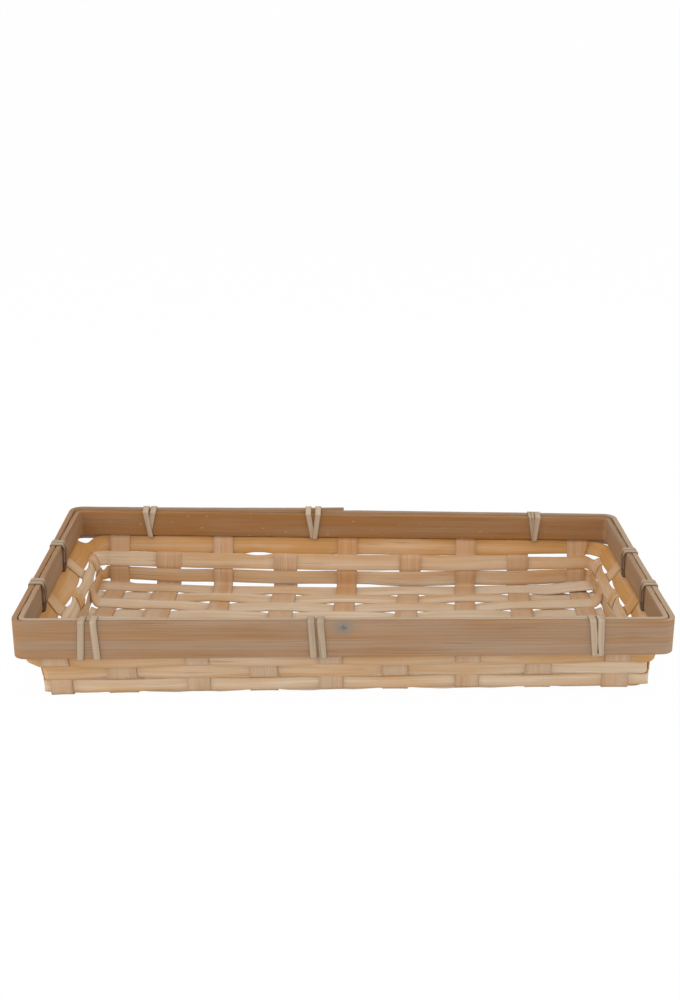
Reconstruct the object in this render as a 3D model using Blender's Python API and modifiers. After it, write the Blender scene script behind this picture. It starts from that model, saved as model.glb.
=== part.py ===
"""Berry basket: a shallow rectangular tray woven from flat wood splints.

Nine crosswise splints run front to back and eleven lengthwise ones left to right. The crosswise
splints and every second lengthwise one turn up at the edge of the floor as the stakes of the
walls. Three splint rings are woven round them, and the stakes' ends stand between two bent wood
bands that form the rim. Ten cane lashings, each wound twice, bind the bands together.

Metres, +Z up. The origin is under the middle of the floor, X runs along the length of the basket
and the front is at -Y.
"""
import bmesh
import bpy
from math import cos, pi, sin
from mathutils import Vector

# Overall sizes, taken over the outer band of the rim
RIM_WIDTH = 0.300
RIM_DEPTH = 0.150
HEIGHT = 0.041
RIM_CORNER_RADIUS = 0.0060

# The two bent bands of the rim
OUTER_BAND_HEIGHT = 0.018
OUTER_BAND_THICKNESS = 0.0022
INNER_BAND_HEIGHT = 0.0135
INNER_BAND_THICKNESS = 0.0017
LAP_LENGTH = 0.025
LAP_TIP_THICKNESS = 0.0003
LAP_CLEARANCE = 0.0003
LAP_END_X = 0.0003

# The splints, and how they lie where they cross
SPLINT_THICKNESS = 0.0007
STAKE_WIDTH = 0.0113
CROSSING_CLEARANCE = 0.0003
SLOT_CLEARANCE = 0.0003
SLIT_SLACK = 0.0006
STAKE_END_DROP = 0.0010
STRIP_END_TAIL = 0.0010

# The walls: how far the foot stands in from the rim, and the bend up from the floor
FOOT_INSET = 0.0106
FRONT_ROW_DROP = 0.0015
BEND_RADIUS = 0.0015
BEND_MARGIN = 0.0002
RING_CORNER_MARGIN = 0.0003

# The cane lashings
LASHING_WIDTH = 0.0032
LASHING_THICKNESS = 0.0005
LASHING_CLEARANCE = 0.00025
LASHING_PINCH_SHARE = 0.7
LASHING_TAIL_SHARE = 0.4
LASHING_CORNER_SHARE = 0.8

LENGTHWISE_COUNT = 11

# How far each wall row, from the bottom up, has flared from the foot to the shoulder at its lower
# and at its upper edge. The lower two stand nearly upright and the top one juts out.
ROW_FLARE_SHARES = ((0.00, 0.03), (0.05, 0.34), (0.66, 1.00))

# How much of a slit a stake climbs before it turns towards the next row's other side
SLIT_TURN_SHARE = 0.4

# Where the middle of each crosswise splint meets the front and the back wall, left to right, as
# shares of half the floor's length. They were placed by eye, so no two gaps are alike.
FRONT_STAKE_SHARES = (-0.937, -0.731, -0.479, -0.263, -0.038, 0.174, 0.413, 0.648, 0.901)
BACK_STAKE_SHARES = (-0.888, -0.692, -0.476, -0.229, 0.014, 0.262, 0.481, 0.689, 0.928)
STAKE_WIDTH_SHARES = (0.95, 1.16, 0.94, 1.12, 0.94, 0.97, 0.92, 1.00, 1.00)

# Each lashing passes the weave between two neighbouring stakes of its wall: its name, its wall,
# the stake before it, its share of the free way to the next one, the sense of its winding, and
# how far apart its two turns lie at the top and at the bottom, as shares of the cane's width
LASHING_SHARES = (
    ("lashing_front_left", "front", 0, 0.75, 1, 1.70, 2.22),
    ("lashing_front_middle", "front", 3, 0.96, -1, 1.34, 1.34),
    ("lashing_front_right", "front", 7, 0.82, 1, 1.50, 1.22),
    ("lashing_back_left", "back", 0, 0.73, -1, 1.30, 1.30),
    ("lashing_back_middle", "back", 3, 0.44, 1, 1.30, 1.30),
    ("lashing_back_right", "back", 7, 0.14, 1, 1.30, 1.30),
    ("lashing_left_front", "left", 1, 0.03, 1, 1.25, 1.25),
    ("lashing_left_back", "left", 3, 0.48, 1, 1.25, 1.25),
    ("lashing_right_front", "right", 1, 0.03, 1, 1.25, 1.25),
    ("lashing_right_back", "right", 3, 0.02, 1, 1.25, 1.25),
)

CORNER_STEPS = 5
BEND_STEPS = 4

# A splint lies half a step above or below the middle of the weave
HALF_STEP = (SPLINT_THICKNESS + CROSSING_CLEARANCE) / 2
HALF_WEAVE = HALF_STEP + SPLINT_THICKNESS / 2
FLOOR_MIDDLE = HALF_WEAVE
SLIT = SPLINT_THICKNESS + SLIT_SLACK

# The rim, from the outside in
RIM_SLOT = SPLINT_THICKNESS + 2 * SLOT_CLEARANCE
RIM_THICKNESS = OUTER_BAND_THICKNESS + RIM_SLOT + INNER_BAND_THICKNESS
SLOT_INSET = OUTER_BAND_THICKNESS + RIM_SLOT / 2
LASHING_OFFSET = LASHING_CLEARANCE + LASHING_THICKNESS / 2

# The walls, from the bend at the foot to just under the inner band
ROW_COUNT = len(ROW_FLARE_SHARES)
RIM_GAP = SLIT + LASHING_THICKNESS
SHOULDER_INSET = OUTER_BAND_THICKNESS + 2 * LASHING_OFFSET + HALF_WEAVE
FOOT_SETBACK = BEND_RADIUS + BEND_MARGIN
ROWS_BOTTOM = FLOOR_MIDDLE + FOOT_SETBACK
ROWS_TOP = HEIGHT - INNER_BAND_HEIGHT - RIM_GAP
ROW_PITCH = (ROWS_TOP - ROWS_BOTTOM + SLIT) / ROW_COUNT
ROW_HEIGHT = ROW_PITCH - SLIT

# The floor, out to the line where the walls turn up
FLOOR_HALF_WIDTH = RIM_WIDTH / 2 - FOOT_INSET
FLOOR_HALF_DEPTH = RIM_DEPTH / 2 - FOOT_INSET
STRIP_PITCH = (2 * (FLOOR_HALF_DEPTH - FOOT_SETBACK) + SLIT) / LENGTHWISE_COUNT
STRIP_WIDTH = STRIP_PITCH - SLIT
CROSSWISE_COUNT = len(FRONT_STAKE_SHARES)

# Which stakes pass inside the bottom row: those with an even number where the phase is 0
WALL_PHASES = {"front": 0, "back": 1, "left": 0, "right": 0}


def make_material(name, colour, roughness):
    material = bpy.data.materials.new(name)
    material.use_nodes = True
    shader = material.node_tree.nodes["Principled BSDF"]
    shader.inputs["Base Color"].default_value = (*colour, 1.0)
    shader.inputs["Roughness"].default_value = roughness
    shader.inputs["Metallic"].default_value = 0.0
    return material


def make_ribbon(name, points, half_widths, thickness, material, closed=False):
    """Bridge the two edges of a flat strip along its middle line, then give it its thickness."""
    shape = bmesh.new()
    edges = []
    for sign in (-1, 1):
        rail = [shape.verts.new(point + sign * half) for point, half in zip(points, half_widths)]
        following = rail[1:] + rail[:1] if closed else rail[1:]
        edges += [shape.edges.new(pair) for pair in zip(rail, following)]
    bmesh.ops.bridge_loops(shape, edges=edges)
    mesh = bpy.data.meshes.new(name)
    shape.to_mesh(mesh)
    shape.free()
    piece = bpy.data.objects.new(name, mesh)
    solidify = piece.modifiers.new("thickness", "SOLIDIFY")
    solidify.thickness = thickness
    solidify.offset = 0.0
    solidify.use_even_offset = True
    mesh.materials.append(material)
    return piece


def make_outline(name, loops, bottom, top, material):
    """A flat outline with upright sides, from one closed loop or an outer and an inner one."""
    curve = bpy.data.curves.new(name, "CURVE")
    curve.dimensions = "2D"
    curve.fill_mode = "BOTH"
    curve.extrude = (top - bottom) / 2
    for loop in loops:
        spline = curve.splines.new("POLY")
        spline.points.add(len(loop) - 1)
        for point, (x, y) in zip(spline.points, loop):
            point.co = (x, y, 0.0, 1.0)
        spline.use_cyclic_u = True
    curve.materials.append(material)
    piece = bpy.data.objects.new(name, curve)
    piece.location.z = (top + bottom) / 2
    return piece


def rounded_corner(half_width, half_depth, radius, quarter):
    """The points of one corner of a rounded rectangle, anticlockwise from the back right."""
    sign_x = (1, -1, -1, 1)[quarter]
    sign_y = (1, 1, -1, -1)[quarter]
    centre = Vector((sign_x * (half_width - radius), sign_y * (half_depth - radius)))
    angles = [(quarter + step / CORNER_STEPS) * pi / 2 for step in range(CORNER_STEPS + 1)]
    return [centre + radius * Vector((cos(angle), sin(angle))) for angle in angles]


def rim_loop(inset, first_quarter=0):
    """The rim's outline, drawn in by an inset, as a loop that starts at one of its corners."""
    loop = []
    for turn in range(4):
        quarter = (first_quarter + turn) % 4
        loop += rounded_corner(RIM_WIDTH / 2 - inset, RIM_DEPTH / 2 - inset,
                               RIM_CORNER_RADIUS - inset, quarter)
    return loop


def make_outer_band(material):
    """One long strip, bent round, whose thinned ends lap each other at the back."""
    outside = rim_loop(0, first_quarter=1)
    inside = rim_loop(OUTER_BAND_THICKNESS, first_quarter=1)
    back = RIM_DEPTH / 2
    inner_face = back - OUTER_BAND_THICKNESS
    slope = (OUTER_BAND_THICKNESS - LAP_TIP_THICKNESS) / LAP_LENGTH
    shift = (LAP_TIP_THICKNESS + LAP_CLEARANCE) / slope
    lap_start_x = LAP_END_X - LAP_LENGTH
    left_end = [(lap_start_x, inner_face), (LAP_END_X, back - LAP_TIP_THICKNESS), (LAP_END_X, back)]
    right_end = [(LAP_END_X + shift, back), (lap_start_x + shift, inner_face + LAP_TIP_THICKNESS),
                 (lap_start_x + shift, inner_face)]
    loop = left_end + outside + right_end + inside[::-1]
    return make_outline("outer_rim_band", [loop], HEIGHT - OUTER_BAND_HEIGHT, HEIGHT, material)


def make_inner_band(material):
    inset = OUTER_BAND_THICKNESS + RIM_SLOT
    loops = [rim_loop(inset), rim_loop(RIM_THICKNESS)]
    return make_outline("inner_rim_band", loops, HEIGHT - INNER_BAND_HEIGHT, HEIGHT, material)


def bend_point(share, offset):
    """A place in the bend from the floor to the wall: its distance beyond the foot line, and its
    height. The offset from the middle of the weave is positive towards the inside.
    """
    turn = share * pi / 2
    inward = Vector((-sin(turn), cos(turn)))
    return Vector((-BEND_RADIUS, FLOOR_MIDDLE + BEND_RADIUS)) + (offset - BEND_RADIUS) * inward


def row_line(row, y):
    """The ends of the middle line of a wall row, counted from the bottom, and the way inwards.

    The slits between the rows sink a little from the back wall to the front one.
    """
    drop = FRONT_ROW_DROP * (FLOOR_HALF_DEPTH - y) / (2 * FLOOR_HALF_DEPTH)
    flare = FOOT_INSET - SHOULDER_INSET
    lower_share, upper_share = ROW_FLARE_SHARES[row]
    bottom = ROWS_BOTTOM + row * ROW_PITCH
    top = bottom + ROW_HEIGHT
    lower = Vector((lower_share * flare, bottom - drop if row > 0 else bottom))
    upper = Vector((upper_share * flare, top - drop if row < ROW_COUNT - 1 else top))
    climb = (upper - lower).normalized()
    return lower, upper, Vector((-climb.y, climb.x))


def is_inside(wall, stake, row):
    return (stake + row + WALL_PHASES[wall]) % 2 == 0


def stake_offset(wall, stake, row):
    return HALF_STEP if is_inside(wall, stake, row) else -HALF_STEP


def is_over(crosswise, lengthwise):
    """Whether a crosswise splint lies on top. The first and last repeat their neighbours' steps."""
    phase = min(max(crosswise, 2), CROSSWISE_COUNT - 1)
    return (phase + lengthwise) % 2 == 0


def climbing_path(wall, stake, y, floor_offset):
    """The way of a stake from the floor's edge to its end between the bands."""
    path = [Vector((-FOOT_SETBACK, FLOOR_MIDDLE + floor_offset))]
    bottom_offset = stake_offset(wall, stake, 0)
    for step in range(BEND_STEPS + 1):
        share = step / BEND_STEPS
        path.append(bend_point(share, floor_offset + share * (bottom_offset - floor_offset)))
    turn_rise = Vector((0, SLIT_TURN_SHARE * SLIT))
    for row in range(ROW_COUNT):
        lower, upper, inward = row_line(row, y)
        offset = stake_offset(wall, stake, row) * inward
        if row > 0:
            path.append(lower + offset - turn_rise)
        path += [lower + offset, upper + offset]
        if row < ROW_COUNT - 1:
            path.append(upper + offset + turn_rise)
    slot = FOOT_INSET - SLOT_INSET
    path.append(Vector((slot, HEIGHT - INNER_BAND_HEIGHT)))
    path.append(Vector((slot, HEIGHT - STAKE_END_DROP)))
    return path


def crosswise_x(crosswise, y):
    """Where the middle of a crosswise splint lies, at a distance from front to back."""
    front = FRONT_STAKE_SHARES[crosswise - 1] * FLOOR_HALF_WIDTH
    back = BACK_STAKE_SHARES[crosswise - 1] * FLOOR_HALF_WIDTH
    return front + (back - front) * (y + FLOOR_HALF_DEPTH) / (2 * FLOOR_HALF_DEPTH)


def crosswise_width(crosswise):
    return STAKE_WIDTH * STAKE_WIDTH_SHARES[crosswise - 1]


def lengthwise_y(lengthwise):
    """Where the middle of a lengthwise splint lies. They are counted from the back."""
    return (LENGTHWISE_COUNT + 1 - 2 * lengthwise) / 2 * STRIP_PITCH


def make_crosswise_splint(crosswise, material):
    route = []
    offset = HALF_STEP if is_over(crosswise, LENGTHWISE_COUNT) else -HALF_STEP
    for out, z in reversed(climbing_path("front", crosswise, -FLOOR_HALF_DEPTH, offset)):
        route.append((-FLOOR_HALF_DEPTH - out, z))
    for lengthwise in range(LENGTHWISE_COUNT, 0, -1):
        offset = HALF_STEP if is_over(crosswise, lengthwise) else -HALF_STEP
        for edge in (-STRIP_WIDTH / 2, STRIP_WIDTH / 2):
            route.append((lengthwise_y(lengthwise) + edge, FLOOR_MIDDLE + offset))
    for out, z in climbing_path("back", crosswise, FLOOR_HALF_DEPTH, offset):
        route.append((FLOOR_HALF_DEPTH + out, z))
    points = [Vector((crosswise_x(crosswise, y), y, z)) for y, z in without_repeats(route)]
    half_width = Vector((crosswise_width(crosswise) / 2, 0, 0))
    name = f"crosswise_splint_{crosswise}"
    return make_ribbon(name, points, [half_width] * len(points), SPLINT_THICKNESS, material)


def without_repeats(route):
    """The route without the places that two of its stretches share."""
    kept = route[:1]
    for place in route[1:]:
        if (Vector(place) - Vector(kept[-1])).length > BEND_MARGIN / 2:
            kept.append(place)
    return kept


def make_lengthwise_splint(lengthwise, material):
    y = lengthwise_y(lengthwise)
    route = []
    for crosswise in range(1, CROSSWISE_COUNT + 1):
        offset = -HALF_STEP if is_over(crosswise, lengthwise) else HALF_STEP
        for edge in (-crosswise_width(crosswise) / 2, crosswise_width(crosswise) / 2):
            route.append((crosswise_x(crosswise, y) + edge, FLOOR_MIDDLE + offset))
    if lengthwise % 2:
        stake = (lengthwise + 1) // 2
        left = climbing_path("left", stake, y, HALF_STEP)
        right = climbing_path("right", stake, y, HALF_STEP)
        route = [(-FLOOR_HALF_WIDTH - out, z) for out, z in reversed(left)] + route
        route += [(FLOOR_HALF_WIDTH + out, z) for out, z in right]
    else:
        left = (route[0][0] - STRIP_END_TAIL, route[0][1])
        right = (route[-1][0] + STRIP_END_TAIL, route[-1][1])
        route = [left] + route + [right]
    points = [Vector((x, y, z)) for x, z in route]
    half_width = Vector((0, STRIP_WIDTH / 2, 0))
    name = f"lengthwise_splint_{lengthwise:02d}"
    return make_ribbon(name, points, [half_width] * len(points), SPLINT_THICKNESS, material)


def wall_stakes(wall, y=0):
    """The middle and width of each stake of a wall, left to right or front to back."""
    if wall in ("front", "back"):
        numbers = range(1, CROSSWISE_COUNT + 1)
        return [(number, crosswise_x(number, y), crosswise_width(number)) for number in numbers]
    numbers = range((LENGTHWISE_COUNT + 1) // 2, 0, -1)
    return [(number, lengthwise_y(2 * number - 1), STRIP_WIDTH) for number in numbers]


def make_wall_weaver(name, row, material):
    """One ring of splint, outside the stakes that pass inside it and inside the others."""
    lower, upper, _ = row_line(row, 0)
    out = (lower.x + upper.x) / 2
    half_x = FLOOR_HALF_WIDTH + out
    half_y = FLOOR_HALF_DEPTH + out
    last_edge = lengthwise_y(1) + STRIP_WIDTH / 2
    radius = half_y - last_edge - RING_CORNER_MARGIN
    stations = []
    for quarter, wall in enumerate(("back", "left", "front", "right")):
        corner = rounded_corner(half_x, half_y, radius, quarter)
        for step, place in enumerate(corner):
            turn = (quarter + step / CORNER_STEPS) * pi / 2
            stations.append((place, Vector((cos(turn), sin(turn))), None))
        stations += wall_stations(wall, row, half_x, half_y)
    points = []
    half_widths = []
    for (place, outward, _), offset in zip(stations, eased_offsets(stations)):
        lower, upper, inward = row_line(row, place.y)
        outward = outward.to_3d()
        upward = Vector((0, 0, 1))
        middle = place.to_3d() + (lower.y + upper.y) / 2 * upward
        points.append(middle + offset * (inward.x * outward + inward.y * upward))
        half_widths.append(((upper.x - lower.x) * outward + (upper.y - lower.y) * upward) / 2)
    return make_ribbon(name, points, half_widths, SPLINT_THICKNESS, material, closed=True)


def wall_stations(wall, row, half_x, half_y):
    """Both edges of every stake that a ring passes along one wall, anticlockwise from above."""
    outward = {"back": Vector((0, 1)), "left": Vector((-1, 0)),
               "front": Vector((0, -1)), "right": Vector((1, 0))}[wall]
    along = Vector((-outward.y, outward.x))
    face = Vector((half_x * outward.x, half_y * outward.y))
    stakes = wall_stakes(wall, face.y)
    if wall in ("back", "left"):
        stakes.reverse()
    stations = []
    for number, middle, width in stakes:
        base = face + middle * Vector((abs(along.x), abs(along.y)))
        for edge in (-width / 2, width / 2):
            stations.append((base + edge * along, outward, -stake_offset(wall, number, row)))
    return stations


def eased_offsets(stations):
    """Offsets at every station, even steps between the ones that the stakes set."""
    count = len(stations)
    first = next(index for index in range(count) if stations[index][2] is not None)
    order = [(first + index) % count for index in range(count + 1)]
    ways = [0.0]
    for before, after in zip(order, order[1:]):
        ways.append(ways[-1] + (stations[after][0] - stations[before][0]).length)
    known = [index for index, station in enumerate(order) if stations[station][2] is not None]
    offsets = [0.0] * count
    for start, end in zip(known, known[1:]):
        start_offset = stations[order[start]][2]
        end_offset = stations[order[end]][2]
        for index in range(start, end + 1):
            share = (ways[index] - ways[start]) / (ways[end] - ways[start])
            offsets[order[index]] = start_offset + share * (end_offset - start_offset)
    return offsets


def cut_corners(places, cut):
    """Replace each inner corner of a line by two points, one before it and one after it."""
    line = [places[0]]
    for before, corner, after in zip(places, places[1:], places[2:]):
        for other in (before, after):
            way = other - corner
            line.append(corner + way * (cut / way.xyz.length))
    line.append(places[-1])
    return line


def lashing_line(turn, top_spread, bottom_spread):
    """The cane's line round the rim: along it, out from its face, up, and the cane's width."""
    outside = LASHING_OFFSET
    inside = -RIM_THICKNESS - LASHING_OFFSET
    behind = -OUTER_BAND_THICKNESS - LASHING_OFFSET
    top = HEIGHT + LASHING_OFFSET
    under = HEIGHT - OUTER_BAND_HEIGHT - LASHING_OFFSET
    inner_edge = HEIGHT - INNER_BAND_HEIGHT
    through = inner_edge - RIM_GAP / 2
    pinch = LASHING_PINCH_SHARE * LASHING_WIDTH
    tail = LASHING_TAIL_SHARE * LASHING_WIDTH
    tail_side = (tail + LASHING_CLEARANCE) / 2
    places = (
        (-tail_side, inside, inner_edge + LASHING_OFFSET, tail),
        (-top_spread, inside, top, LASHING_WIDTH),
        (-top_spread, outside, top, LASHING_WIDTH),
        (-bottom_spread, outside, under, LASHING_WIDTH),
        (-bottom_spread, behind, under, LASHING_WIDTH),
        (pass_side(), behind, through, pinch),
        (pass_side(), inside, through, pinch),
        (top_spread, inside, top, LASHING_WIDTH),
        (top_spread, outside, top, LASHING_WIDTH),
        (bottom_spread, outside, under, LASHING_WIDTH),
        (bottom_spread, -OUTER_BAND_THICKNESS / 2, under, LASHING_WIDTH),
    )
    turned = [Vector((turn * along, out, z, width)) for along, out, z, width in places]
    return cut_corners(turned, LASHING_CORNER_SHARE * LASHING_OFFSET)


def pass_side():
    """How far beside the lashing's middle the cane passes through the weave."""
    return (LASHING_PINCH_SHARE * LASHING_WIDTH + LASHING_CLEARANCE) / 2


def make_lashing(name, wall, stake, share, turn, top_share, bottom_share, material):
    outward = {"front": Vector((0, -1, 0)), "back": Vector((0, 1, 0)),
               "left": Vector((-1, 0, 0)), "right": Vector((1, 0, 0))}[wall]
    along = Vector((1, 0, 0)) if wall in ("front", "back") else Vector((0, 1, 0))
    reach = RIM_WIDTH / 2 if wall in ("left", "right") else RIM_DEPTH / 2
    stakes = wall_stakes(wall, outward.y * (RIM_DEPTH / 2 - SLOT_INSET))
    _, before, before_width = stakes[stake]
    _, after, after_width = stakes[stake + 1]
    room = LASHING_WIDTH / 2 + LASHING_CLEARANCE
    first = before + before_width / 2 + room
    last = after - after_width / 2 - room
    middle = first + share * (last - first) - turn * pass_side()
    points = []
    half_widths = []
    spreads = (top_share * LASHING_WIDTH / 2, bottom_share * LASHING_WIDTH / 2)
    for side, out, z, width in lashing_line(turn, *spreads):
        points.append((middle + side) * along + (reach + out) * outward + Vector((0, 0, z)))
        half_widths.append(width / 2 * along)
    return make_ribbon(name, points, half_widths, LASHING_THICKNESS, material)


def main():
    for old in list(bpy.data.objects):
        bpy.data.objects.remove(old, do_unlink=True)
    basket = bpy.data.collections.new("berry_basket")
    bpy.context.scene.collection.children.link(basket)

    band_wood = make_material("band_wood", (0.42, 0.27, 0.16), 0.62)
    stake_wood = make_material("stake_wood", (0.58, 0.38, 0.21), 0.60)
    weaver_wood = make_material("weaver_wood", (0.64, 0.44, 0.27), 0.60)
    cane = make_material("cane", (0.56, 0.46, 0.32), 0.55)

    pieces = [make_outer_band(band_wood), make_inner_band(band_wood)]
    for crosswise in range(1, CROSSWISE_COUNT + 1):
        pieces.append(make_crosswise_splint(crosswise, stake_wood))
    for lengthwise in range(1, LENGTHWISE_COUNT + 1):
        pieces.append(make_lengthwise_splint(lengthwise, weaver_wood))
    for row, place in enumerate(("bottom", "middle", "top")):
        pieces.append(make_wall_weaver(f"wall_weaver_{place}", row, weaver_wood))
    for lashing in LASHING_SHARES:
        pieces.append(make_lashing(*lashing, cane))
    for piece in pieces:
        basket.objects.link(piece)


main()
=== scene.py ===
from math import cos, pi, radians, sin
from random import Random

import bpy
import numpy as np
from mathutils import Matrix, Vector, noise


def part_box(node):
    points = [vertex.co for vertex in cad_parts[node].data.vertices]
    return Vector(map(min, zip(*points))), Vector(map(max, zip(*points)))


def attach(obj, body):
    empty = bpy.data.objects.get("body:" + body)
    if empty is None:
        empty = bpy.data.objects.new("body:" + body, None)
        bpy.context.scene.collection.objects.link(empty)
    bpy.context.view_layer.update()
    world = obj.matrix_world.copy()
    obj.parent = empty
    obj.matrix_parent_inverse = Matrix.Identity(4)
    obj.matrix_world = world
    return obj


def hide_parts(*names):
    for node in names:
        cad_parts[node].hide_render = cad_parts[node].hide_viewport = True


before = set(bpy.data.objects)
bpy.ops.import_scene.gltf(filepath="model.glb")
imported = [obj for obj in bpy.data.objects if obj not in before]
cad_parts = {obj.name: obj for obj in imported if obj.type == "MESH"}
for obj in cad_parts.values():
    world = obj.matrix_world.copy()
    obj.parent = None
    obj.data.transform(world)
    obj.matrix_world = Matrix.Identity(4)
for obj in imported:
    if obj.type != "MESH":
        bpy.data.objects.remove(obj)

bl_info = {
    "name": "Berry Basket",
    "version": (1, 0, 0),
    "blender": (4, 5, 0),
    "location": "View3D > Sidebar > Basket",
    "description": "Weaves a shallow splint basket with a bound rim, strip by strip",
    "category": "Add Mesh",
}

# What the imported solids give: the rim's outside and the lower edges of its two bands
RIM_LOW, RIM_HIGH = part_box("outer_rim_band")
HALF_WIDTH = (RIM_HIGH.x - RIM_LOW.x) / 2
HALF_DEPTH = (RIM_HIGH.y - RIM_LOW.y) / 2
HEIGHT = RIM_HIGH.z
OUTER_BAND_BOTTOM = RIM_LOW.z
INNER_BAND_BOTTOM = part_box("inner_rim_band")[0].z

CROSSWISE_COUNT = 9
LENGTHWISE_COUNT = 11
ROW_COUNT = 3
ROW_NAMES = ("bottom", "middle", "top")

# Small lengths of the weave, in metres: the straight run beside the turn up to a wall, the gap
# between the top row and the inner band, how far the top of the weave stands in from the rim's
# outside, how far a short splint's ends rise, and a ring's run past the last stake of a wall
TURN_MARGIN = 0.0002
TOP_ROW_GAP = 0.0018
SHOULDER_INSET = 0.00405
TAIL_RISE = 0.0006
CORNER_MARGIN = 0.0004

# How many steps the turn up to a wall, a ring's corner and a band's corner have
TURN_STEPS = 6
CORNER_STEPS = 8

# Share of a slit over which a stake changes sides, and share of the rim's height below which a
# splint counts as floor
CROSSING_SHARE = 0.4
FLOOR_TOP = 0.15

# How far each wall row, from the bottom up, has flared from the foot to the shoulder at its lower
# and at its upper edge
ROW_FLARE_SHARES = ((0.00, 0.03), (0.05, 0.34), (0.66, 1.00))

# How far each ring, from the bottom up, hangs down at each corner, in metres, from the back right
# corner anticlockwise
CORNER_DIPS = ((0.0008, 0.0028, 0.0002, 0.0004),
               (0.0021, 0.0002, 0.0006, 0.0010),
               (0.0006, 0.0042, 0.0004, 0.0010))

# Below 1, a ring hangs most before the middle of the corner, and above 1 after it
DIP_SKEWS = (0.65, 1.6, 1.0, 1.0)

# How much of their usual share of the slits the rings' edges fill at each corner
CORNER_CLOSINGS = (0.4, 1.0, 0.7, 0.7)

# How much of the slits the lower and the upper edge of each ring fill in the end walls
SIDE_CLOSINGS = ((1.1, 0.55), (0.55, 0.15), (0.95, 1.1))

# How far in the end walls stand at some heights, which are shares of the rim's height. Each wall
# has one row of insets, in metres, for its front and one for its back
INSET_HEIGHTS = (0.0, 0.20, 0.24, 0.39, 0.44, 0.62)
END_INSETS = {
    "left": ((0.0010, 0.0010, 0.0012, 0.0020, -0.0018, 0.0),
             (0.0056, 0.0056, 0.0056, 0.0054, 0.0046, 0.0)),
    "right": ((-0.0017, -0.0014, -0.0010, 0.0006, 0.0006, 0.0),
              (0.0024, 0.0024, 0.0024, 0.0024, 0.0020, 0.0)),
}
# The insets begin beside the outermost upright splints
INSET_START = 0.127
# From where to where along y, as shares of half the rim's depth, the insets change
INSET_CHANGE = (-0.9, 0.3)

# How the bows of the floor's ends and of the foot's front edge ease in: from where to where towards
# the front, as shares of half the rim's depth, and upwards, as shares of the rim's height
FLOOR_BOW_FRONT = (0.3, 0.85)
FLOOR_BOW_UP = (0.1, 0.7)
FRONT_BOW_FRONT = (0.5, 0.95)
FRONT_BOW_UP = (0.0, 0.4)

# Where the slit above a ring stays open: its wall, the ring's row, from where to where along x or y
# and how much of the slit each ring's edge fills there
OPEN_SLITS = (("back", 1, -0.054, -0.040, 0.1), ("back", 1, 0.102, 0.124, 0.1),
              ("left", 0, 0.016, 0.030, -0.6), ("left", 0, 0.040, 0.053, -0.6),
              ("right", 0, 0.040, 0.053, 0.0))

# How much of the slits a floor splint's edges fill where it passes over and under a crosswise
# splint, and the same for the backmost edge of the floor, at its open left and its shut right part
FLOOR_FILLS = (0.0, -0.55)
BACK_FILLS = ((-0.9, 0.9), (0.3, 1.7))

# The fills of a floor splint's edges between two crossings, at least and at most, where both
# crossings are alike, at the ends that turn up and at the ends of the short splints
GAP_FILLS = (0.42, 0.52)
LEVEL_FILL = 0.85
END_FILL = 0.55
TAIL_FILL = 0.45

# The fills of a ring's edges as shares of its usual ones: between two stakes, at least and at most,
# and at a stake
RING_FILLS = (0.8, 1.05)
STAKE_FILL = 0.85

# How much of the slit above the floor's edge the bottom ring fills
FOOT_FILLS = {"front": 0.5, "back": 0.9, "left": 1.0, "right": 1.0}

# From where to where along x the slits shut in front of the backmost splint and behind it
BACK_SHUTS = (0.005, 0.036)
FOOT_SHUTS = (0.010, 0.036)

# From where to where along x the backmost splint rides up and widens
END_RISE_REACH = (0.110, 0.132)
END_WIDENING_REACH = (0.095, 0.115)

# How strips are uneven: the wavelengths, in metres, of their drift, of their lean and of the coarse
# and fine waves of their edges, and how high the fine waves are beside the coarse ones
DRIFT_WAVE = 0.045
LEAN_WAVE = 0.030
COARSE_WAVE = 0.009
FINE_WAVE = 0.0023
FINE_SHARE = 0.4

# Which stakes pass inside the bottom row: those with an even number where the phase is 0
WALL_PHASES = {"front": 0, "back": 1, "left": 0, "right": 0}
OUTWARD = {"back": (0, 1), "left": (-1, 0), "front": (0, -1), "right": (1, 0)}

# The corners' sides of x and y, anticlockwise from the back right, and the wall after each corner
CORNER_SIGNS = ((1, 1), (-1, 1), (-1, -1), (1, -1))
WALL_ORDER = ("back", "left", "front", "right")


def length(name, description, default):
    return bpy.props.FloatProperty(name=name, description=description, default=default,
                                   unit="LENGTH", precision=5)


def share(name, description, default):
    return bpy.props.FloatProperty(name=name, description=description, default=default,
                                   subtype="FACTOR", soft_min=0.0, soft_max=1.0)


def angle(name, description, degrees):
    return bpy.props.FloatProperty(name=name, description=description, default=radians(degrees),
                                   subtype="ANGLE")


def corners(name, description, default):
    """One height for each corner: front left, front right, back left, back right."""
    return bpy.props.FloatVectorProperty(name=name, description=description, default=default,
                                         unit="LENGTH", size=4, precision=5)


def colour(name, description, default):
    return bpy.props.FloatVectorProperty(name=name, description=description, default=default,
                                         subtype="COLOR", size=3, min=0.0, max=1.0)


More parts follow.
